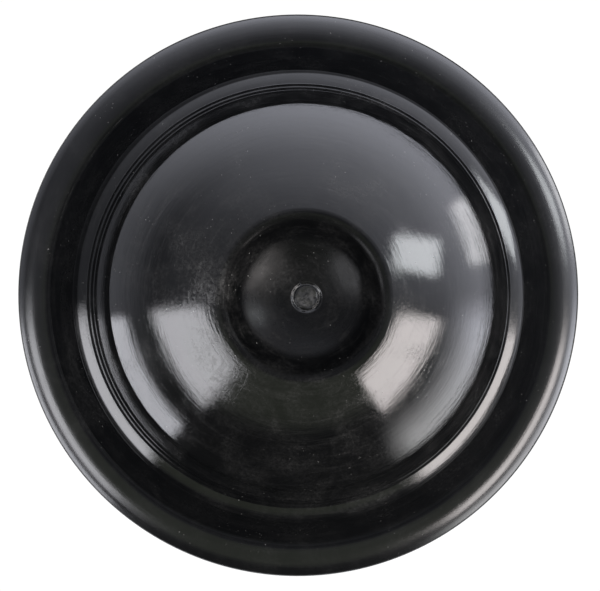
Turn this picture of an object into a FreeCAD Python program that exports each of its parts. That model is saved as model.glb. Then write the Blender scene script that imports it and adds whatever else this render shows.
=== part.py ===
import FreeCAD, Part
import math
import os

import Sketcher

doc = FreeCAD.newDocument("sink_plunger")

# Driving dimensions in millimetres. z = 0 is the plane the rim stands on, and
# the cup's axis is Z. The bell is stacked inwards and upwards from the rim:
# each width is radial and each rise is vertical, measured on the inside face.
sizes = [
    # lip: two crests with a shallow gutter between them
    ("rimRadius", 57.5),
    ("rimHeight", 5.0),
    ("rimRound", 0.2),
    ("landWidth", 0.4),        # flat ring on the outer crest that touches the sink
    ("lipWidth", 6.5),         # rim edge to the inner crest
    ("crestLift", 2.0),
    ("gutterDepth", 2.2),
    ("gutterSetback", 1.0),    # inner crest to the gutter's deepest circle
    # bell: throat, skirt, ledge, step and dome
    ("throatWidth", 1.5),
    ("throatRise", 3.2),
    ("skirtWidth", 2.4),
    ("skirtRise", 4.8),
    ("ledgeWidth", 3.9),
    ("ledgeRise", 1.9),
    ("ledgeBend", 12.0),
    ("stepWidth", 2.4),
    ("stepRise", 4.5),
    ("domeRadius", 61.0),
    ("wall", 3.3),
    # boss: the closed end of the handle socket, which bulges into the bell
    ("bossDrop", 8.9),         # top of the dome's sphere down to the boss's tip
    ("bossSag", 4.0),
    ("bossThick", 6.6),
    ("bossWall", 4.6),         # socket bore to the boss's edge
    ("bossFlare", 2.4),
    # socket on top of the bell, with the coarse thread moulded in it
    ("socketBore", 10.0),
    ("socketWall", 5.6),
    ("socketDepth", 30.0),
    ("beadDepth", 1.4),
    ("beadHeight", 5.0),
    ("threadPitch", 5.0),
    ("threadDepth", 1.0),
    ("threadLength", 20.0),
    ("threadCrest", 1.2),      # width of the rubber ridge at its tip
    ("threadClear", 0.08),
    # handle: turned wood with a threaded spigot, a seat and a gentle swell
    ("seatOverhang", 2.2),
    ("seatGap", 0.3),
    ("seatHeight", 2.6),
    ("gripRadius", 11.2),
    ("gripSwell", 1.9),
    ("gripLength", 146.0),
    ("endHeight", 9.0),
    # roundings
    ("smallRound", 0.5),
    ("lipRound", 1.6),
    ("rootRound", 3.0),
]

sheet = doc.addObject("Spreadsheet::Sheet", "dims")
for row, (name, value) in enumerate(sizes, start=1):
    sheet.set("A%d" % row, name)
    sheet.set("B%d" % row, str(value))
    sheet.setAlias("B%d" % row, name)
doc.recompute()


def valueOf(expression):
    """An expression on the sheet's names, worked out now."""
    return float(sheet.evalExpression(expression))


def bound(expression):
    """The same expression as the document reads it from outside the sheet."""
    for name, _ in sorted(sizes, key=lambda entry: -len(entry[0])):
        expression = expression.replace(name, "<<%s>>" % name)
    return expression.replace("<<", "dims.").replace(">>", "")


def originFeature(body, role):
    return next(f for f in body.Origin.OriginFeatures if f.Role == role)


def newBody(label):
    body = doc.addObject("PartDesign::Body", label)
    body.Label = label
    return body


def outlineSketch(body, name, points, arcs):
    """Closed outline in the XZ plane, every point placed by two expressions.

    points holds (x expression, z expression); arcs maps the index of an edge's
    first point to (radius expression, side), side +1 for a centre on the left.
    """
    sketch = body.newObject("Sketcher::SketchObject", name)
    sketch.AttachmentSupport = [(originFeature(body, "XZ_Plane"), "")]
    sketch.MapMode = "FlatFace"
    places = [FreeCAD.Vector(valueOf(x), valueOf(z), 0) for x, z in points]
    count = len(points)
    startCorner = {}
    for index in range(count):
        start = places[index]
        end = places[(index + 1) % count]
        if index in arcs:
            radiusText, side = arcs[index]
            radius = valueOf(radiusText)
            half = (end - start).Length / 2
            sag = radius - math.sqrt(radius ** 2 - half ** 2)
            along = (end - start).normalize()
            left = FreeCAD.Vector(-along.y, along.x, 0)
            crown = (start + end) * 0.5 - left * (side * sag)
            edge = Part.Arc(start, crown, end)
            geometry = sketch.addGeometry(edge, False)
            # an arc always runs anticlockwise, so one with its centre on the
            # right has its own start at the outline's end
            startCorner[index] = (1, 2) if side > 0 else (2, 1)
            radiusRow = sketch.addConstraint(
                Sketcher.Constraint("Radius", geometry, radius))
            sketch.setExpression("Constraints[%d]" % radiusRow, bound(radiusText))
        else:
            sketch.addGeometry(Part.LineSegment(start, end), False)
            startCorner[index] = (1, 2)
    for index in range(count):
        following = (index + 1) % count
        sketch.addConstraint(Sketcher.Constraint(
            "Coincident", index, startCorner[index][1],
            following, startCorner[following][0]))
    for index, (xText, zText) in enumerate(points):
        corner = startCorner[index][0]
        for kind, text in (("DistanceX", xText), ("DistanceY", zText)):
            value = valueOf(text)
            if abs(value) < 1e-9:
                # a zero distance is an alignment with the sketch's own origin
                align = "Vertical" if kind == "DistanceX" else "Horizontal"
                sketch.addConstraint(Sketcher.Constraint(align, index, corner, -1, 1))
                continue
            place = sketch.addConstraint(Sketcher.Constraint(
                kind, -1, 1, index, corner, value))
            sketch.setExpression("Constraints[%d]" % place, bound(text))
    return sketch


def revolved(body, name, sketch):
    turn = body.newObject("PartDesign::Revolution", name)
    turn.Profile = sketch
    turn.ReferenceAxis = (sketch, ["V_Axis"])
    turn.Angle = 360
    doc.recompute()
    return turn


def rounded(body, name, base, corners, radiusName):
    """Fillet on the circular edges at the given (radius, height) expressions."""
    wanted = [(valueOf(r), valueOf(z)) for r, z in corners]
    names = []
    for number, edge in enumerate(base.Shape.Edges, start=1):
        if edge.Degenerated or not isinstance(edge.Curve, Part.Circle):
            continue
        for radius, height in wanted:
            near = abs(edge.Curve.Radius - radius) + abs(edge.Curve.Center.z - height)
            if near < 1e-3:
                names.append("Edge%d" % number)
    if len(names) != len(wanted):
        raise ValueError("%s found %d edges of %d" % (name, len(names), len(wanted)))
    fillet = body.newObject("PartDesign::Fillet", name)
    fillet.Base = (base, names)
    fillet.setExpression("Radius", bound(radiusName))
    doc.recompute()
    return fillet


def threadSection(body, name, tip, crest, depth, middle):
    """Four-sided thread section whose flanks slope 1 in 2 out past the bore."""
    root = "socketBore+threadDepth/2"
    foot = "(%s)/2+(%s)/2" % (crest, depth)
    points = [
        (tip, "%s-(%s)/2" % (middle, crest)),
        (root, "%s-(%s)" % (middle, foot)),
        (root, "%s+(%s)" % (middle, foot)),
        (tip, "%s+(%s)/2" % (middle, crest)),
    ]
    return outlineSketch(body, name, points, {})


def helical(body, kind, name, sketch, length):
    thread = body.newObject(kind, name)
    thread.Profile = sketch
    thread.ReferenceAxis = (sketch, ["V_Axis"])
    thread.Mode = 0  # pitch and height
    thread.setExpression("Pitch", bound("threadPitch"))
    thread.setExpression("Height", bound(length))
    doc.recompute()
    return thread


# cup: one rubber moulding, from the lip up to the top of the handle socket
crestRadius = "(rimRadius-lipWidth)"
gutterRadius = "(%s+gutterSetback)" % crestRadius
landOuter = "(rimRadius-rimRound)"
landInner = "(rimRadius-rimRound-landWidth)"
throatRadius = "(%s-throatWidth)" % crestRadius
throatHeight = "(crestLift+throatRise)"
skirtRadius = "(%s-skirtWidth)" % throatRadius
skirtHeight = "(%s+skirtRise)" % throatHeight
ledgeRadius = "(%s-ledgeWidth)" % skirtRadius
ledgeHeight = "(%s+ledgeRise)" % skirtHeight
domeEdgeRadius = "(%s-stepWidth)" % ledgeRadius
domeEdgeHeight = "(%s+stepRise)" % ledgeHeight
domeCentre = "(%s-sqrt(domeRadius^2-%s^2))" % (domeEdgeHeight, domeEdgeRadius)


def arcBend(width, depth):
    """Radius of an arc that starts level and drops by depth over width."""
    return "((%s)^2+(%s)^2)/(2*(%s))" % (width, depth, depth)


def domeHeight(radius, offset):
    """Height of the dome's sphere, moved out by offset, at a radius."""
    return "(%s+sqrt((domeRadius+%s)^2-(%s)^2))" % (domeCentre, offset, radius)


bossTip = "(%s+domeRadius-bossDrop)" % domeCentre
bossRadius = "(socketBore+bossWall)"
bossRoot = "(socketBore+bossWall+bossFlare)"
socketFloor = "(%s+bossThick)" % bossTip
socketTop = "(%s+socketDepth)" % socketFloor
socketOuter = "(socketBore+socketWall)"
socketFoot = "(socketBore+socketWall+1)"
beadRadius = "(socketBore+socketWall+beadDepth)"
shoulderRadius = "(%s+0.75*wall)" % domeEdgeRadius

cupOutline = [
    ("0", bossTip),
    (bossRadius, bossTip + "+bossSag"),
    (bossRoot, domeHeight(bossRoot, "0")),
    (domeEdgeRadius, domeEdgeHeight),
    (ledgeRadius, ledgeHeight),
    (skirtRadius, skirtHeight),
    (throatRadius, throatHeight),
    (crestRadius, "crestLift"),
    (gutterRadius, "gutterDepth"),
    (landInner, "0"),
    (landOuter, "0"),
    ("rimRadius", "rimRound"),
    ("rimRadius", "rimHeight"),
    (throatRadius + "+wall", throatHeight + "+0.5*wall"),
    (skirtRadius + "+0.8*wall", skirtHeight + "+0.7*wall"),
    (ledgeRadius + "+0.5*wall", ledgeHeight + "+0.9*wall"),
    (shoulderRadius, domeHeight(shoulderRadius, "wall")),
    (socketFoot, domeHeight(socketFoot, "wall")),
    (socketOuter, socketTop + "-beadHeight-beadDepth"),
    (beadRadius, socketTop + "-beadHeight"),
    (beadRadius, socketTop),
    ("socketBore", socketTop),
    ("socketBore", socketFloor),
    ("0", socketFloor),
]
cupArcs = {
    0: (arcBend(bossRadius, "bossSag"), 1),
    2: ("domeRadius", -1),
    4: ("ledgeBend", -1),
    7: (arcBend("gutterSetback", "gutterDepth-crestLift"), -1),
    8: (arcBend(landInner + "-" + gutterRadius, "gutterDepth"), -1),
    16: ("(domeRadius+wall)", 1),
}

cup = newBody("cup")
cupSketch = outlineSketch(cup, "cup_outline", cupOutline, cupArcs)
cupTurn = revolved(cup, "cup_turn", cupSketch)


def corners(*numbers):
    return [cupOutline[number] for number in numbers]


cupRoot = rounded(cup, "socket_root", cupTurn, corners(17), "rootRound")
cupLip = rounded(cup, "lip_rounds", cupRoot, corners(12, 13, 14, 15), "lipRound")
cupSmall = rounded(cup, "small_rounds", cupLip, corners(1, 2, 4, 11, 19, 20), "smallRound")

ridgeSketch = threadSection(
    cup, "ridge_section", "socketBore-threadDepth", "threadCrest",
    "threadDepth*1.5", socketFloor + "+threadPitch")
cupThread = helical(
    cup, "PartDesign::AdditiveHelix", "socket_thread", ridgeSketch, "threadLength")

# handle: one piece of turned wood, its spigot cut to suit the rubber thread
spigotRadius = "(socketBore-threadClear)"
spigotTip = "(%s+seatGap)" % socketFloor
seatRadius = "(socketBore+seatOverhang)"
seatBase = "(%s+seatGap)" % socketTop
gripStart = "(%s+seatHeight)" % seatBase
gripEnd = "(%s+gripLength)" % gripStart

handleOutline = [
    ("0", spigotTip),
    (spigotRadius + "-threadDepth", spigotTip),
    (spigotRadius, spigotTip + "+threadDepth"),
    (spigotRadius, seatBase),
    (seatRadius, seatBase),
    (seatRadius, seatBase + "+seatHeight/2"),
    ("gripRadius", gripStart),
    ("gripRadius", gripEnd),
    ("0", gripEnd + "+endHeight"),
]
handleArcs = {
    6: ("(gripLength^2/4+gripSwell^2)/(2*gripSwell)", 1),
    7: (arcBend("gripRadius", "endHeight"), 1),
}
handle = newBody("handle")
handleSketch = outlineSketch(handle, "handle_outline", handleOutline, handleArcs)
handleTurn = revolved(handle, "handle_turn", handleSketch)

# the groove starts one pitch lower, so it runs out at the tip, in phase with the ridge
grooveSketch = threadSection(
    handle, "groove_section", "socketBore-threadDepth-threadClear",
    "threadCrest+2*threadClear", "threadDepth*1.5+threadClear", socketFloor)
handleThread = helical(
    handle, "PartDesign::SubtractiveHelix", "spigot_thread", grooveSketch,
    "threadLength+1.5*threadPitch")

doc.recompute()

# checks, then one file for each piece
for item in doc.Objects:
    if "Invalid" in item.State or "Error" in item.State:
        raise ValueError("%s failed: %s" % (item.Name, item.State))
os.makedirs("parts", exist_ok=True)
for piece in (cup, handle):
    shape = piece.Shape
    if shape.isNull() or not shape.isValid() or len(shape.Solids) != 1:
        raise ValueError("%s has no sound solid" % piece.Label)
    print(piece.Label, "volume", round(shape.Volume), "box", shape.BoundBox)
    shape.exportStep("parts/%s.step" % piece.Label)
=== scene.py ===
import math
import bpy
import numpy as np
from mathutils import Matrix, Quaternion, Vector


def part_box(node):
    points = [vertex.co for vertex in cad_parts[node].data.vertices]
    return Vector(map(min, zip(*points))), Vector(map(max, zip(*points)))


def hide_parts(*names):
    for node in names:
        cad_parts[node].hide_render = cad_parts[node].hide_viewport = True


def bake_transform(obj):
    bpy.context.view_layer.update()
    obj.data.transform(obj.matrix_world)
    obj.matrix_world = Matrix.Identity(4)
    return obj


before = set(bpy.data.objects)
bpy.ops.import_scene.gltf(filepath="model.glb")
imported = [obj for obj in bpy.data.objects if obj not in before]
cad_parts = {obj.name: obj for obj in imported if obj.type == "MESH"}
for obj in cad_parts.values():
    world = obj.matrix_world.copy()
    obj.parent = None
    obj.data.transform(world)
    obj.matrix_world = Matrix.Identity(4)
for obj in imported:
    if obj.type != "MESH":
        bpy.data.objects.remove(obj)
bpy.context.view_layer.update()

scene = bpy.context.scene
mm = 0.001
print("frame loaded:", sorted(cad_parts))


# small shader kit: a socket that does sums
class Wire:
    def __init__(self, sheet, socket):
        self.sheet = sheet
        self.socket = socket

    def sum(self, operation, *others):
        return self.sheet.add("ShaderNodeMath", {"operation": operation},
                              dict(enumerate([self, *others])))

    def __add__(self, other):
        return self.sum("ADD", other)

    def __radd__(self, other):
        return self.sum("ADD", other)

    def __sub__(self, other):
        return self.sum("SUBTRACT", other)

    def __rsub__(self, other):
        return self.sheet.add("ShaderNodeMath", {"operation": "SUBTRACT"}, {0: other, 1: self})

    def __mul__(self, other):
        return self.sum("MULTIPLY", other)

    def __rmul__(self, other):
        return self.sum("MULTIPLY", other)

    def __truediv__(self, other):
        return self.sum("DIVIDE", other)

    def band(self, low, high):
        # 0 below low, 1 above high, smooth between
        return self.sheet.add("ShaderNodeMapRange", {"interpolation_type": "SMOOTHSTEP"},
                              {"Value": self, "From Min": low, "From Max": high})


class ShaderSheet:
    def __init__(self, tree):
        self.tree = tree
        self.tree.nodes.clear()

    def add(self, kind, settings=None, values=None, output=0):
        node = self.tree.nodes.new(kind)
        for name, value in (settings or {}).items():
            setattr(node, name, value)
        for name, value in (values or {}).items():
            socket = node.inputs[name]
            if isinstance(value, Wire):
                self.tree.links.new(value.socket, socket)
            else:
                socket.default_value = value
        return Wire(self, node.outputs[output])

    def mixColour(self, share, first, second):
        return self.add("ShaderNodeMix", {"data_type": "RGBA"},
                        {0: share, 6: first, 7: second}, 2)

    def noise(self, vector, scale, detail, roughness, distortion=0.0):
        return self.add("ShaderNodeTexNoise", None, {
            "Vector": vector, "Scale": scale, "Detail": detail,
            "Roughness": roughness, "Distortion": distortion})

    def scaled(self, vector, factors):
        return self.add("ShaderNodeVectorMath", {"operation": "MULTIPLY"}, {0: vector, 1: factors})

    def split(self, vector):
        node = self.tree.nodes.new("ShaderNodeSeparateXYZ")
        self.tree.links.new(vector.socket, node.inputs[0])
        return [Wire(self, node.outputs[index]) for index in range(3)]

    def root(self, value):
        return self.add("ShaderNodeMath", {"operation": "SQRT"}, {0: value})

    def size(self, value):
        return self.add("ShaderNodeMath", {"operation": "ABSOLUTE"}, {0: value})

    def joined(self, x, y, z):
        return self.add("ShaderNodeCombineXYZ", None, {0: x, 1: y, 2: z})

    def distance(self, x, y, centreX=0.0, centreY=0.0):
        return self.root((x - centreX) * (x - centreX) + (y - centreY) * (y - centreY))

    def bump(self, height, strength, distance):
        return self.add("ShaderNodeBump", None,
                        {"Strength": strength, "Distance": distance, "Height": height})

    def principled(self, base, rough, normal, more):
        return self.add("ShaderNodeBsdfPrincipled", None,
                        {"Base Color": base, "Roughness": rough, "Normal": normal, **more})


def newMaterial(name):
    material = bpy.data.materials.new(name)
    material.use_nodes = True
    return material, ShaderSheet(material.node_tree)


def showSurface(sheet, surface, kind="ShaderNodeOutputMaterial"):
    out = sheet.tree.nodes.new(kind)
    sheet.tree.links.new(surface.socket, out.inputs["Surface"])


# outline of a turned form: runs of points with softened corners, in millimetres
def straight(start, end, step):
    count = max(1, int(math.dist(start, end) / step))
    return [(start[0] + (end[0] - start[0]) * i / count,
             start[1] + (end[1] - start[1]) * i / count) for i in range(count + 1)]


def arc(start, end, radius, side, step):
    # side +1 keeps the centre on the left of the way from start to end
    chord = math.dist(start, end)
    alongX = (end[0] - start[0]) / chord
    alongY = (end[1] - start[1]) / chord
    drop = math.sqrt(radius ** 2 - chord ** 2 / 4)
    centreX = (start[0] + end[0]) / 2 - alongY * drop * side
    centreY = (start[1] + end[1]) / 2 + alongX * drop * side
    first = math.atan2(start[1] - centreY, start[0] - centreX)
    sweep = 2 * math.asin(chord / 2 / radius) * side
    count = max(4, int(abs(sweep) * radius / step))
    return [(centreX + radius * math.cos(first + sweep * i / count),
             centreY + radius * math.sin(first + sweep * i / count)) for i in range(count + 1)]


def cutBack(points, length):
    # the run without its first stretch of that length
    left = length
    for index in range(len(points) - 1):
        piece = math.dist(points[index], points[index + 1])
        if piece > left:
            share = left / piece
            a, b = points[index], points[index + 1]
            cut = (a[0] + (b[0] - a[0]) * share, a[1] + (b[1] - a[1]) * share)
            return [cut] + points[index + 1:]
        left -= piece
    return points[-1:]


def softened(runs, steps=7):
    # runs is a list of (points, how far the corner at the run's end is rounded)
    outline = []
    tail = list(runs[0][0])
    for index, (_, reach) in enumerate(runs):
        if index == len(runs) - 1:
            outline += tail
            break
        following = list(runs[index + 1][0])
        if reach:
            corner = following[0]
            tail = cutBack(tail[::-1], reach)[::-1]
            following = cutBack(following, reach)
            a, b = tail[-1], following[0]
            outline += tail
            for i in range(1, steps):
                t = i / steps
                outline.append(tuple(
                    (1 - t) ** 2 * a[k] + 2 * t * (1 - t) * corner[k] + t * t * b[k]
                    for k in (0, 1)))
            tail = following
        else:
            outline += tail[:-1]
            tail = following
    return outline


# lathe as a node tree: the outline's points become the rings of a round form
def latheTree():
    tree = bpy.data.node_groups.new("lathe", "GeometryNodeTree")
    face = tree.interface
    face.new_socket("Outline", in_out="INPUT", socket_type="NodeSocketGeometry")
    face.new_socket("Segments", in_out="INPUT", socket_type="NodeSocketInt")
    face.new_socket("Weld", in_out="INPUT", socket_type="NodeSocketFloat")
    face.new_socket("Finish", in_out="INPUT", socket_type="NodeSocketMaterial")
    face.new_socket("Form", in_out="OUTPUT", socket_type="NodeSocketGeometry")
    nodes = tree.nodes
    links = tree.links

    def add(kind, settings=None, values=None):
        node = nodes.new(kind)
        for name, value in (settings or {}).items():
            setattr(node, name, value)
        for name, value in (values or {}).items():
            if isinstance(value, bpy.types.NodeSocket):
                links.new(value, node.inputs[name])
            else:
                node.inputs[name].default_value = value
        return node

    def maths(operation, first, second=0.0):
        return add("ShaderNodeMath", {"operation": operation}, {0: first, 1: second}).outputs[0]

    given = nodes.new("NodeGroupInput")
    size = add("GeometryNodeAttributeDomainSize", {"component": "MESH"},
               {"Geometry": given.outputs["Outline"]})
    rings = size.outputs["Point Count"]
    around = maths("ADD", given.outputs["Segments"], 1.0)
    grid = add("GeometryNodeMeshGrid", None,
               {"Size X": 1.0, "Size Y": 1.0, "Vertices X": rings, "Vertices Y": around})
    here = nodes.new("GeometryNodeInputPosition").outputs[0]
    place = add("ShaderNodeSeparateXYZ", None, {0: here})
    last = maths("SUBTRACT", rings, 1.0)
    ring = maths("ROUND", maths("MULTIPLY", maths("ADD", place.outputs[0], 0.5), last))
    angle = maths("MULTIPLY", maths("ADD", place.outputs[1], 0.5), 2 * math.pi)
    sample = add("GeometryNodeSampleIndex", {"data_type": "FLOAT_VECTOR", "domain": "POINT"},
                 {"Geometry": given.outputs["Outline"], "Value": here, "Index": ring})
    point = add("ShaderNodeSeparateXYZ", None, {0: sample.outputs[0]})
    turned = add("ShaderNodeCombineXYZ", None, {
        0: maths("MULTIPLY", point.outputs[0], maths("COSINE", angle)),
        1: maths("MULTIPLY", point.outputs[0], maths("SINE", angle)),
        2: point.outputs[2]})
    moved = add("GeometryNodeSetPosition", None,
                {"Geometry": grid.outputs["Mesh"], "Position": turned.outputs[0]})
    closed = add("GeometryNodeMergeByDistance", None,
                 {"Geometry": moved.outputs[0], "Distance": given.outputs["Weld"]})
    smooth = add("GeometryNodeSetShadeSmooth", None, {"Geometry": closed.outputs[0]})
    real = add("GeometryNodeRealizeInstances", None, {"Geometry": smooth.outputs[0]})
    finished = add("GeometryNodeSetMaterial", None,
                   {"Geometry": real.outputs[0], "Material": given.outputs["Finish"]})
    out = nodes.new("NodeGroupOutput")
    links.new(finished.outputs[0], out.inputs["Form"])
    return tree


turningTree = latheTree()


def turnedForm(name, outline, segments, material, weld=0.002):
    mesh = bpy.data.meshes.new(name + "_outline")
    mesh.from_pydata([(r * mm, 0.0, z * mm) for r, z in outline], [], [])
    piece = bpy.data.objects.new(name, mesh)
    scene.collection.objects.link(piece)
    lathe = piece.modifiers.new("lathe", "NODES")
    lathe.node_group = turningTree
    ids = {item.name: item.identifier for item in turningTree.interface.items_tree
           if item.in_out == "INPUT"}
    lathe[ids["Segments"]] = segments
    lathe[ids["Weld"]] = weld * mm
    lathe[ids["Finish"]] = material
    bpy.context.view_layer.update()
    graph = bpy.context.evaluated_depsgraph_get()
    solid = bpy.data.meshes.new_from_object(piece.evaluated_get(graph))
    solid.name = name
    piece.modifiers.remove(lathe)
    piece.data = solid
    print(name, "turned:", len(outline), "rings,", len(solid.polygons), "faces")
    return piece


# radii and heights of the cup's turning points, in millimetres
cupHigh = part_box("cup")[1]
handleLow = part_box("handle")[0]
cupShape = {
    "rimRadius": cupHigh.x / mm, "rimHeight": 5.0, "rimRound": 0.18, "landWidth": 0.08,
    "crest": (50.95, 2.0), "gutter": (51.9, 2.2),
    "throat": (49.5, 5.3), "skirt": (47.1, 10.1),
    "ledge": (44.4, 11.57), "ledgeBend": 13.0,
    # from the dome's edge down to the ledge, with two fine ridges on the way
    "step": [(40.8, 16.5), (41.1, 15.8), (42.85, 13.8), (43.1, 13.3), (43.24, 13.2),
             (43.65, 12.45), (43.85, 12.33), (44.33, 11.60)],
    "stepRounds": [0.3, 0.3, 0.2, 0.10, 0.12, 0.10, 0.12],
    "domeRadius": 61.0, "wall": 3.3,
    "bossRadius": 14.6, "bossSag": 4.0, "bossDrop": 8.9, "bossRoot": 17.3,
    "bore": 10.0, "socketOuter": 15.6, "socketFloor": handleLow.z / mm - 0.3,
    "socketTop": cupHigh.z / mm, "collarDepth": 1.4, "collarHeight": 5.0,
    "gateRadius": 2.75, "gateLip": 0.34, "gateFloor": 0.30, "gateFoot": 0.55, "gateSlope": 0.32,
    "segments": 224,
    # height just over the rim: the real rubber gives from there up to the socket's floor
    "bendFrom": 0.5,
}

# small faults of the moulding, in millimetres and radians
cupFaults = {
    # how far each part sits off the axis, and the radii between which that fades out
    "domeShift": (0.2, 0.0), "domeFade": (41.0, 44.2),
    "ledgeShift": (-0.30, 0.0), "ledgeFade": (50.0, 51.2),
    "gateShift": (0.78, 0.15), "gateFade": (3.0, 6.0),
    # the raised ring of the gate mark: where it is, and how uneven
    "ringIn": (2.3, 2.6), "ringOut": (2.9, 3.2), "ringRough": 0.05,
    "ringWaves": [(3, 0.6, 1.0), (7, 2.1, 0.7), (13, 4.0, 0.5)],
    # the torn floor inside that ring, lower on one side
    "pitOut": (2.0, 2.45), "pitLean": 0.10, "pitLeanOver": (0.1, 1.4),
    # a torn thread of rubber on the ring
    "spikeIn": (2.6, 2.9), "spikeOut": (2.9, 3.4), "spikeTurn": -1.98, "spikeWidth": 0.05,
    "spikePull": (-0.35, -0.75, -0.35),
    # the lip isn't quite round
    "lipIn": (50.5, 53.0), "lipWaves": [(2, -3.0, 0.0011), (3, 0.8, 0.0007)],
}

# rubber of the cup
rubberLook = {
    "colour": (0.0026, 0.0027, 0.0029, 1.0),
    "bloomColour": (0.075, 0.073, 0.070, 1.0), "bloomShare": 0.60,
    "dustColour": (0.34, 0.33, 0.31, 1.0), "dustShare": 0.75,
    "polish": 0.036, "wornAndShadedRough": 0.46, "wornAndShadedShine": 0.0, "refraction": 1.5,
    # how much each place adds to the roughness
    "bossMatt": 0.20, "stepMatt": 0.07, "lipMatt": 0.12, "outsideMatt": 0.18,
    "powderMatt": 0.30, "dustMatt": 0.2, "cloudMatt": 0.05, "mistMatt": 0.02,
    # how much each place loses its shine: painted shade in the throat, skirt, step, crest and the
    # groove round the boss; matt rubber on the boss, bloom and outside
    "bossDull": 0.79, "bossPatchy": 0.5, "stepShade": 0.45, "skirtShade": 0.85,
    "throatShade": 0.95, "crestShade": 0.80, "grooveShade": 0.25, "outsideDull": 0.3,
    "powderDull": 0.25, "gateDull": 0.05,
    # radii and heights, in millimetres, between which each place begins or ends
    "insideTop": (33.5, 34.5), "bossOut": (17.2, 19.0),
    "stepIn": (41.1, 41.5), "stepOut": (43.8, 44.3),
    "skirtIn": (46.3, 46.6), "skirtOut": (50.0, 50.4), "skirtTop": (10.6, 11.2),
    "throatIn": (49.3, 49.9), "throatOut": (50.8, 51.1), "throatTop": (5.6, 6.2),
    "crestIn": (50.4, 50.7), "crestOut": (51.6, 52.4), "lipIn": (51.2, 53.0),
    "cleanIn": (46.0, 47.5), "cleanShare": 0.6,
    "pitOut": (1.7, 2.4), "gateOut": (3.1, 3.6),
    # dust settles in the groove round the boss, and the groove is also darkened there as painted
    # shade
    "grooveRadius": 14.8, "grooveOut": (0.8, 3.2), "grooveDust": 0.9, "looseDust": 0.30,
    # size of the patterns, per metre
    "cloudScale": 95.0, "mistScale": 1500.0, "scrapeScale": 70.0, "settledScale": 130.0,
    "speckScale": 950.0, "speckWarpScale": 1800.0, "speckWarp": 0.6,
    # wiping marks: turns round the axis, and lines per metre outwards
    "wipes": (1.1, 420.0), "drags": (3.0, 1500.0),
    "bumpStrength": 0.16, "bumpDepth": 0.2,
    # handled places: x, y and reach in millimetres, and how marked they are
    "marks": [(-20, -1, 9, 1.0), (-16, 12, 13, 0.5), (2, 26, 15, 0.18), (-7, -6, 7, 0.5),
              (24, 17, 10, 0.35), (-31, -14, 15, 0.35), (14, -30, 17, 0.25), (-46, 18, 14, 0.25)],
    "markless": 0.22, "markHeart": 0.25,
}


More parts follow.
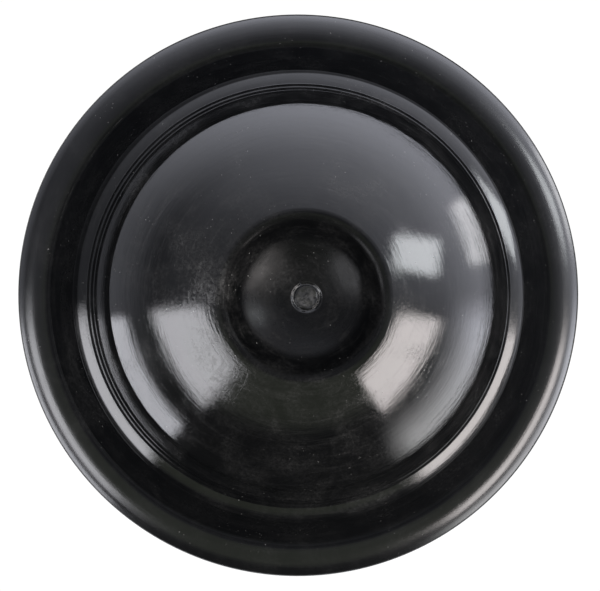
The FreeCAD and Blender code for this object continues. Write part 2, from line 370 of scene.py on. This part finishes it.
def rubberMaterial(look, faults):
    material, s = newMaterial("cupRubber")
    place = s.add("ShaderNodeTexCoord", None, None, 3)
    x, y, z = s.split(place)
    radius = s.distance(x, y)
    across = x / (radius + 0.0001)
    along = y / (radius + 0.0001)

    def past(value, limits):
        low, high = look[limits]
        return value.band(low * mm, high * mm)

    def wiped(marks, *noise):
        # slow round the axis, quick across: the cup was wiped round and round
        turns, lines = look[marks]
        return s.noise(s.joined(across * turns, along * turns, radius * lines), 2.0, *noise)

    wipes = wiped("wipes", 5.0, 0.66, 0.5)
    drag = wiped("drags", 3.0, 0.6, 0.2)
    cloud = s.noise(place, look["cloudScale"], 5.0, 0.62, 0.5)
    mist = s.noise(place, look["mistScale"], 4.0, 0.75, 0.2)

    # places
    inside = 1 - past(z, "insideTop")
    outside = 1 - inside
    gate = s.distance(x, y, *[(faults["domeShift"][axis] + faults["gateShift"][axis]) * mm
                              for axis in (0, 1)])
    pit = (1 - past(gate, "pitOut")) * inside
    boss = (1 - past(radius, "bossOut")) * inside
    step = past(radius, "stepIn") * (1 - past(radius, "stepOut")) * inside
    skirt = past(radius, "skirtIn") * (1 - past(radius, "skirtOut")) * (1 - past(z, "skirtTop"))
    lipFace = 1 - past(z, "throatTop")
    throat = past(radius, "throatIn") * (1 - past(radius, "throatOut")) * lipFace
    crest = past(radius, "crestIn") * (1 - past(radius, "crestOut")) * lipFace
    lip = past(radius, "lipIn")
    groove = 1 - past(s.size(radius - look["grooveRadius"] * mm), "grooveOut")

    # pale bloom where it was handled, wiped or scratched
    handled = look["markless"]
    for markX, markY, reach, amount in look["marks"]:
        away = s.distance(x, y, markX * mm, markY * mm)
        handled = (1 - away.band(reach * mm * look["markHeart"], reach * mm)) * amount + handled
    scrape = s.noise(s.scaled(place, (1.0, 0.55, 1.0)), look["scrapeScale"], 2.0, 0.5, 2.4)
    scratches = (1 - s.size(scrape - 0.5).band(0.001, 0.006)) * cloud.band(0.48, 0.60)
    powder = cloud.band(0.38, 0.72) * (0.25 + mist.band(0.35, 0.70) * 0.75) * handled
    powder = powder + wipes.band(0.48, 0.72) * mist.band(0.25, 0.6) * handled * 0.55
    # paler on the floor of the gate's pit, more so towards +y
    powder = powder + pit * mist.band(0.32, 0.70) * (along * 0.35 + 0.55)
    powder = powder + scratches * mist.band(0.3, 0.6) * handled * 0.5
    powder = powder * (1 - past(radius, "cleanIn") * look["cleanShare"])

    # specks of dust
    warp = s.add("ShaderNodeTexNoise", None,
                 {"Vector": place, "Scale": look["speckWarpScale"]}, 1)
    warped = s.add("ShaderNodeVectorMath", {"operation": "ADD"},
                   {0: place, 1: s.scaled(warp, (look["speckWarp"] * mm,) * 3)})
    speck = s.add("ShaderNodeTexVoronoi", {"feature": "F1"},
                  {"Vector": warped, "Scale": look["speckScale"]})
    settled = s.noise(place, look["settledScale"], 3.0, 0.6).band(0.50, 0.66)
    settled = settled * (handled + groove * look["grooveDust"] + look["looseDust"])
    dust = (1 - speck.band(0.03, 0.16)) * settled * mist.band(0.42, 0.60)

    base = s.mixColour(powder * look["bloomShare"], look["colour"], look["bloomColour"])
    base = s.mixColour(dust * look["dustShare"], base, look["dustColour"])
    rough = look["polish"] + boss * look["bossMatt"] + step * look["stepMatt"]
    rough = rough + lip * look["lipMatt"] + powder * look["powderMatt"] + dust * look["dustMatt"]
    rough = rough + outside * look["outsideMatt"]
    rough = rough + cloud * look["cloudMatt"] + mist * look["mistMatt"]
    # share of unshiny black rubber: matt finish on the boss, bloom and outside, painted shade in
    # the recesses
    dullAndShade = boss * (look["bossDull"] + (cloud - 0.5) * look["bossPatchy"])
    # painted shade: the throat is made black and unshiny, as in its shadow
    dullAndShade = dullAndShade + throat * look["throatShade"]
    dullAndShade = dullAndShade * (past(gate, "gateOut") * (1 - look["gateDull"]) + look["gateDull"])
    # painted shade on the step band, the crest and the skirt wall
    dullAndShade = dullAndShade + step * look["stepShade"] + crest * look["crestShade"] + skirt * look["skirtShade"]
    dullAndShade = dullAndShade + powder * look["powderDull"] + outside * look["outsideDull"]
    # painted shade in the groove round the boss
    dullAndShade = dullAndShade + groove * inside * look["grooveShade"]
    height = mist * 0.22 + drag * 0.30 + wipes * 0.40 + powder * 0.3
    bump = s.bump(height, look["bumpStrength"], look["bumpDepth"] * mm)
    polished = s.principled(base, rough, bump, {"IOR": look["refraction"]})
    # unshiny black rubber, both matt finish and painted shade
    wornAndShaded = s.principled(base, look["wornAndShadedRough"], bump,
                        {"IOR": look["refraction"], "Specular IOR Level": look["wornAndShadedShine"]})
    showSurface(s, s.add("ShaderNodeMixShader", None, {0: dullAndShade, 1: polished, 2: wornAndShaded}))
    return material


def levelBend(width, depth):
    # radius of an arc that starts level and drops by depth over width
    return (width ** 2 + depth ** 2) / (2 * depth)


def domeCentre(c):
    edgeRadius, edgeHeight = c["step"][0]
    return edgeHeight - math.sqrt(c["domeRadius"] ** 2 - edgeRadius ** 2)


def cupOutline(c):
    edgeRadius = c["step"][0][0]
    centreZ = domeCentre(c)
    wall = c["wall"]
    outer = c["domeRadius"] + wall

    def onDome(r, domeRadius=c["domeRadius"]):
        return (r, centreZ + math.sqrt(domeRadius ** 2 - r * r))

    tip = centreZ + c["domeRadius"] - c["bossDrop"]
    bossBend = levelBend(c["bossRadius"], c["bossSag"])

    def onBoss(r):
        return (r, tip + bossBend - math.sqrt(bossBend ** 2 - r * r))

    gate = c["gateRadius"]
    gateFoot = onBoss(gate + c["gateFoot"])
    gateCrest = (gate, onBoss(gate)[1] - c["gateLip"])
    gateWall = (gate - c["gateSlope"], tip + c["gateFloor"])
    bossEdge = onBoss(c["bossRadius"])
    bossRoot = onDome(c["bossRoot"])
    landOut = (c["rimRadius"] - c["rimRound"], 0.0)
    landIn = (landOut[0] - c["landWidth"], 0.0)
    rimLow = (c["rimRadius"], c["rimRound"])
    rimHigh = (c["rimRadius"], c["rimHeight"])
    crest, gutter, throat, skirt = c["crest"], c["gutter"], c["throat"], c["skirt"]
    lipTop = (throat[0] + wall, throat[1] + 0.5 * wall)
    skirtOut = (skirt[0] + 0.8 * wall, skirt[1] + 0.7 * wall)
    stepEnd = c["step"][-2]
    ledgeOut = (stepEnd[0] + 0.4 * wall, stepEnd[1] + 0.8 * wall)
    shoulder = onDome(edgeRadius + 0.75 * wall, outer)
    foot = onDome(c["socketOuter"] + 1.0, outer)
    neck = (c["socketOuter"], c["socketTop"] - c["collarHeight"] - c["collarDepth"])
    collar = (c["socketOuter"] + c["collarDepth"], neck[1] + c["collarDepth"])
    collarTop = (collar[0], c["socketTop"])
    boreTop = (c["bore"], c["socketTop"])
    boreFloor = (c["bore"], c["socketFloor"])
    # each run with its point spacing, and how far its last corner is rounded
    return softened([
        (straight((0.0, gateWall[1]), gateWall, 0.30), 0.12),
        (straight(gateWall, gateCrest, 0.3), 0.26),
        (straight(gateCrest, gateFoot, 0.3), 0.12),
        (arc(gateFoot, bossEdge, bossBend, 1, 0.8), 1.4),
        (straight(bossEdge, bossRoot, 0.8), 2.0),
        (arc(bossRoot, onDome(edgeRadius), c["domeRadius"], -1, 1.0), 0.35),
        *[(straight(start, end, 0.4), reach)
          for start, end, reach in zip(c["step"], c["step"][1:], c["stepRounds"])],
        (straight(c["step"][-1], c["ledge"], 0.3), 0.04),
        (arc(c["ledge"], skirt, c["ledgeBend"], -1, 0.3), 0.2),
        (straight(skirt, throat, 0.9), 1.2),
        (straight(throat, crest, 0.5), 0.45),
        (arc(crest, gutter, levelBend(gutter[0] - crest[0], gutter[1] - crest[1]), -1, 0.2), 0.3),
        (arc(gutter, landIn, levelBend(landIn[0] - gutter[0], gutter[1]), -1, 0.25), 0.05),
        (straight(landIn, landOut, 0.2), 0.03),
        (straight(landOut, rimLow, 0.2), 0.12),
        (straight(rimLow, rimHigh, 0.9), 1.3),
        (straight(rimHigh, lipTop, 0.9), 1.5),
        (straight(lipTop, skirtOut, 1.2), 1.5),
        (straight(skirtOut, ledgeOut, 1.0), 1.5),
        (straight(ledgeOut, shoulder, 1.0), 1.5),
        (arc(shoulder, foot, outer, 1, 1.3), 3.0),
        (straight(foot, neck, 2.0), 0.6),
        (straight(neck, collar, 0.8), 0.6),
        (straight(collar, collarTop, 1.2), 0.7),
        (straight(collarTop, boreTop, 1.5), 0.5),
        (straight(boreTop, boreFloor, 3.0), 0.5),
        (straight(boreFloor, (0.0, boreFloor[1]), 2.5), 0.0),
    ])


def unevenly(mesh, c, faults):
    # moves the turned vertices, which are read and written in one go
    co = np.empty(len(mesh.vertices) * 3)
    mesh.vertices.foreach_get("co", co)
    co = co.reshape(-1, 3) / mm
    x, y, z = co[:, 0].copy(), co[:, 1].copy(), co[:, 2].copy()
    r = np.hypot(x, y)
    turn = np.arctan2(y, x)

    def past(value, limits):
        low, high = faults[limits]
        t = np.clip((value - low) / (high - low), 0, 1)
        return t * t * (3 - 2 * t)

    def waves(name, wave):
        return sum(height * wave(count * turn + start) for count, start, height in faults[name])

    underDome = np.hypot(r, z - domeCentre(c)) < c["domeRadius"] + 0.5 * c["wall"]
    inSocket = (r < c["bore"] + 0.9) & (z > c["socketFloor"] - 0.4)
    inner = underDome & ~inSocket
    parts = {"domeShift": 1 - past(r, "domeFade"),
             "ledgeShift": past(r, "domeFade") * (1 - past(r, "ledgeFade")),
             "gateShift": 1 - past(r, "gateFade")}
    for name, share in parts.items():
        for axis in (0, 1):
            co[:, axis] += inner * share * faults[name][axis]
    ring = inner * past(r, "ringIn") * (1 - past(r, "ringOut"))
    co[:, 2] -= ring * faults["ringRough"] * waves("ringWaves", np.sin)
    pit = inner * (1 - past(r, "pitOut"))
    ripple = 0.05 * np.sin(x * 1.9 + y * 1.1 + 1.2) + 0.035 * np.sin(y * 2.7 - x * 1.3 + 0.4)
    lean = past(x * 0.5 - y * 0.2 + r * 0.2, "pitLeanOver") * faults["pitLean"]
    co[:, 2] += pit * (ripple - lean)
    near = np.exp(-((turn - faults["spikeTurn"]) / faults["spikeWidth"]) ** 2)
    spike = inner * past(r, "spikeIn") * (1 - past(r, "spikeOut")) * near
    co += spike[:, None] * np.array(faults["spikePull"])
    swell = 1 + past(r, "lipIn") * waves("lipWaves", np.cos)
    co[:, :2] *= swell[:, None]
    mesh.vertices.foreach_set("co", (co * mm).ravel())
    mesh.update()


def buildCup(c, faults):
    rubber = rubberMaterial(rubberLook, faults)
    cup = turnedForm("rubber_cup", cupOutline(c), c["segments"], rubber)
    unevenly(cup.data, c, faults)
    return cup


cup = buildCup(cupShape, cupFaults)


# handle: varnished turned wood
woodLook = {
    "pale": (0.60, 0.36, 0.16, 1.0),
    "dark": (0.36, 0.18, 0.07, 1.0),
    "pore": (0.16, 0.08, 0.035, 1.0), "poreShare": 0.6,
    # year rings: how tight across and along the handle, and how far they wander
    "ringsAcross": 2400.0, "ringsAlong": 22.0, "wander": 9.0, "wanderScale": 60.0,
    # size of the patterns, per metre, and how far each is drawn out along the grain
    "fibreScale": 1400.0, "poreScale": 2600.0,
    "wanderStretch": 0.06, "fibreStretch": 0.03, "poreStretch": 0.045,
    "rough": 0.34, "fibreMatt": 0.10, "poreMatt": 0.1,
    "varnish": 0.25, "varnishRough": 0.25,
    "bumpStrength": 0.12, "bumpDepth": 0.2,
}


def woodMaterial(look):
    material, s = newMaterial("varnishedWood")
    place = s.add("ShaderNodeTexCoord", None, None, 3)

    def grain(pattern, *noise):
        drawn = s.scaled(place, (1.0, 1.0, look[pattern + "Stretch"]))
        return s.noise(drawn, look[pattern + "Scale"], *noise)

    wander = grain("wander", 3.0, 0.5)
    x, y, z = s.split(place)
    rings = s.add("ShaderNodeMath", {"operation": "SINE"}, {
        0: (x + y * 0.35) * look["ringsAcross"] + z * look["ringsAlong"] + wander * look["wander"]})
    rings = rings * 0.5 + 0.5
    fibre = grain("fibre", 3.0, 0.6)
    pores = grain("pore", 2.0, 0.5).band(0.60, 0.70)
    base = s.mixColour(rings * 0.55 + fibre * 0.45, look["pale"], look["dark"])
    base = s.mixColour(pores * look["poreShare"], base, look["pore"])
    rough = look["rough"] + fibre * look["fibreMatt"] + pores * look["poreMatt"]
    bump = s.bump(fibre * 0.6 - pores * 0.8, look["bumpStrength"], look["bumpDepth"] * mm)
    showSurface(s, s.principled(base, rough, bump, {
        "Coat Weight": look["varnish"], "Coat Roughness": look["varnishRough"]}))
    return material


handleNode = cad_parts["handle"]
handleNode.data.materials.clear()
handleNode.data.materials.append(woodMaterial(woodLook))

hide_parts("cup")
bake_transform(cup)
print("pieces placed")


# stage: studio light, pale floor and the camera
# Windows are upright panels, seen from the cup across a spread of headings and between two
# tilts. A tilted panel faces the cup and is turned by spin in its own plane. Headings turn
# from +X to +Y, tilts are measured from straight down, both in degrees; away is in metres.
lightPlan = {
    "windowLeft": {"heading": 212, "spread": 43, "tilts": (38.8, 56.6),
                   "glow": 13.2, "colour": (1.0, 0.94, 0.93)},
    "windowRight": {"heading": 331, "spread": 44, "tilts": (35.5, 57),
                    "glow": 9.8, "colour": (0.97, 0.97, 1.02)},
    "windowRightFar": {"heading": 331, "spread": 42, "tilts": (69.5, 86),
                       "glow": 9.0, "colour": (0.97, 0.98, 1.05)},
    "windowSmall": {"heading": 162, "tilt": 50, "size": (0.44, 0.66), "spin": -24, "away": 2.0,
                    "glow": 11.5, "colour": (0.94, 0.975, 1.0)},
    "windowSmallFar": {"heading": 161, "spread": 20, "tilts": (72, 86),
                       "glow": 8.5, "colour": (1.0, 1.0, 1.0)},
}


def direction(heading, tilt):
    a = math.radians(heading)
    t = math.radians(tilt)
    return Vector((math.sin(t) * math.cos(a), math.sin(t) * math.sin(a), -math.cos(t)))


def softbox(name, plan, width, height, place, facing):
    lamp = bpy.data.lights.new(name, "AREA")
    lamp.shape = "RECTANGLE"
    lamp.size = width
    lamp.size_y = height
    lamp.color = plan["colour"]
    lamp.energy = plan["glow"] * width * height * math.pi
    holder = bpy.data.objects.new(name, lamp)
    scene.collection.objects.link(holder)
    holder.rotation_mode = "QUATERNION"
    holder.location = place
    holder.rotation_quaternion = facing


def windowPanel(name, plan, away=1.5):
    low, high = [-away / math.tan(math.radians(tilt)) for tilt in plan["tilts"]]
    width = 2 * away * math.tan(math.radians(plan["spread"] / 2))
    a = math.radians(plan["heading"])
    outward = Vector((math.cos(a), math.sin(a), 0.0))
    softbox(name, plan, width, high - low,
            outward * away + Vector((0, 0, (low + high) / 2)), outward.to_track_quat("Z", "Y"))


def tiltedPanel(name, plan):
    towards = direction(plan["heading"], plan["tilt"])
    spin = Quaternion((0, 0, 1), math.radians(plan["spin"]))
    softbox(name, plan, *plan["size"],
            towards * plan["away"], towards.to_track_quat("Z", "Y") @ spin)


for lightName, light in lightPlan.items():
    (windowPanel if "tilts" in light else tiltedPanel)(lightName, light)
print("lights placed:", len(lightPlan))

# the room round the cup, told by the height of each direction, -1 straight down
worldPlan = {
    "close": 0.34, "far": 0.04, "farFrom": (-0.66, -0.52),
    # brighter towards one heading, more so higher up
    "brightHeading": 122, "brightAcross": (-0.62, 1.08), "brightLow": 0.75, "brightRise": 5.2,
    "brightFoot": 0.81,
    # a glow over the low side of the view
    "lowAcross": (-0.9, 0.1), "side": 1.3, "sideFrom": (-0.66, -0.12),
    # a soft-edged window far off
    "hazyHeading": 210, "hazyAcross": (0.86, 0.955), "hazyFrom": (-0.52, -0.13), "hazy": 9.0,
    "sky": 1.05, "skyFrom": (-0.06, 0.02),
    "lowTint": (0.95, 0.97, 1.09, 1.0), "topTint": (0.88, 1.0, 0.70, 1.0), "topTintShare": 0.8,
}


def buildWorld(plan):
    world = bpy.data.worlds.new("studio")
    scene.world = world
    world.use_nodes = True
    s = ShaderSheet(world.node_tree)
    x, y, z = s.split(s.add("ShaderNodeTexCoord", None, None, 0))
    flat = s.distance(x, y) + 0.0001

    def towards(kind):
        a = math.radians(plan[kind + "Heading"])
        return ((x * math.cos(a) + y * math.sin(a)) / flat).band(*plan[kind + "Across"])

    facing = towards("bright")
    sky = z.band(*plan["skyFrom"])
    far = z.band(*plan["farFrom"])
    low = (y / flat).band(*plan["lowAcross"])
    bright = facing * facing * (plan["brightLow"] + (z + plan["brightFoot"]) * plan["brightRise"])
    side = low * z.band(*plan["sideFrom"]) * plan["side"]
    hazy = towards("hazy") * z.band(*plan["hazyFrom"]) * plan["hazy"]
    strength = plan["close"] * (1 - far) + plan["far"] * far + bright + side + hazy
    strength = strength * (1 - sky) + sky * plan["sky"]
    tint = s.mixColour(low * (1 - sky), (1.0, 1.0, 1.0, 1.0), plan["lowTint"])
    tint = s.mixColour((1 - far) * (1 - low) * plan["topTintShare"], tint, plan["topTint"])
    showSurface(s, s.add("ShaderNodeBackground", None, {"Color": tint, "Strength": strength}),
                "ShaderNodeOutputWorld")


buildWorld(worldPlan)

floorPlan = {"reach": 30.0, "colour": (0.82, 0.82, 0.81, 1.0)}


def buildFloor(plan):
    # clear from below, where the view comes from, and not seen in the rubber
    mesh = bpy.data.meshes.new("floor")
    reach = plan["reach"]
    corners = [(-reach, -reach, 0), (reach, -reach, 0), (reach, reach, 0), (-reach, reach, 0)]
    mesh.from_pydata(corners, [], [(0, 1, 2, 3)])
    floor = bpy.data.objects.new("floor", mesh)
    scene.collection.objects.link(floor)
    material, s = newMaterial("paleFloor")
    pale = s.add("ShaderNodeBsdfDiffuse", None, {"Color": plan["colour"]})
    clear = s.add("ShaderNodeBsdfTransparent", None, None)
    under = s.add("ShaderNodeNewGeometry", None, None, 6)
    showSurface(s, s.add("ShaderNodeMixShader", None, {0: under, 1: pale, 2: clear}))
    mesh.materials.append(material)
    floor.visible_glossy = False
    floor.visible_diffuse = False
    floor.visible_shadow = False


buildFloor(floorPlan)

# metres; the camera looks up into the bell, and lean tips it off straight down
cameraPlan = {
    "distance": 0.60, "lean": (0.045, 0.018), "aim": (0.00065, 0.00018),
    "sensor": 36.0, "frameWidth": 0.12287, "clip": (0.01, 100.0),
}


def buildCamera(plan):
    data = bpy.data.cameras.new("camera")
    data.sensor_width = plan["sensor"]
    data.lens = plan["sensor"] * plan["distance"] / plan["frameWidth"]
    data.clip_start, data.clip_end = plan["clip"]
    camera = bpy.data.objects.new("camera", data)
    scene.collection.objects.link(camera)
    aim = Vector((*plan["aim"], 0.0))
    stand = aim + Vector((*plan["lean"], -1.0)).normalized() * plan["distance"]
    ahead = (aim - stand).normalized()
    right = ahead.cross(Vector((0, -1, 0))).normalized()
    up = right.cross(ahead)
    camera.location = stand
    camera.rotation_mode = "QUATERNION"
    camera.rotation_quaternion = Matrix((right, up, -ahead)).transposed().to_quaternion()
    scene.camera = camera


buildCamera(cameraPlan)
scene.view_settings.view_transform = "Standard"
print("stage set")
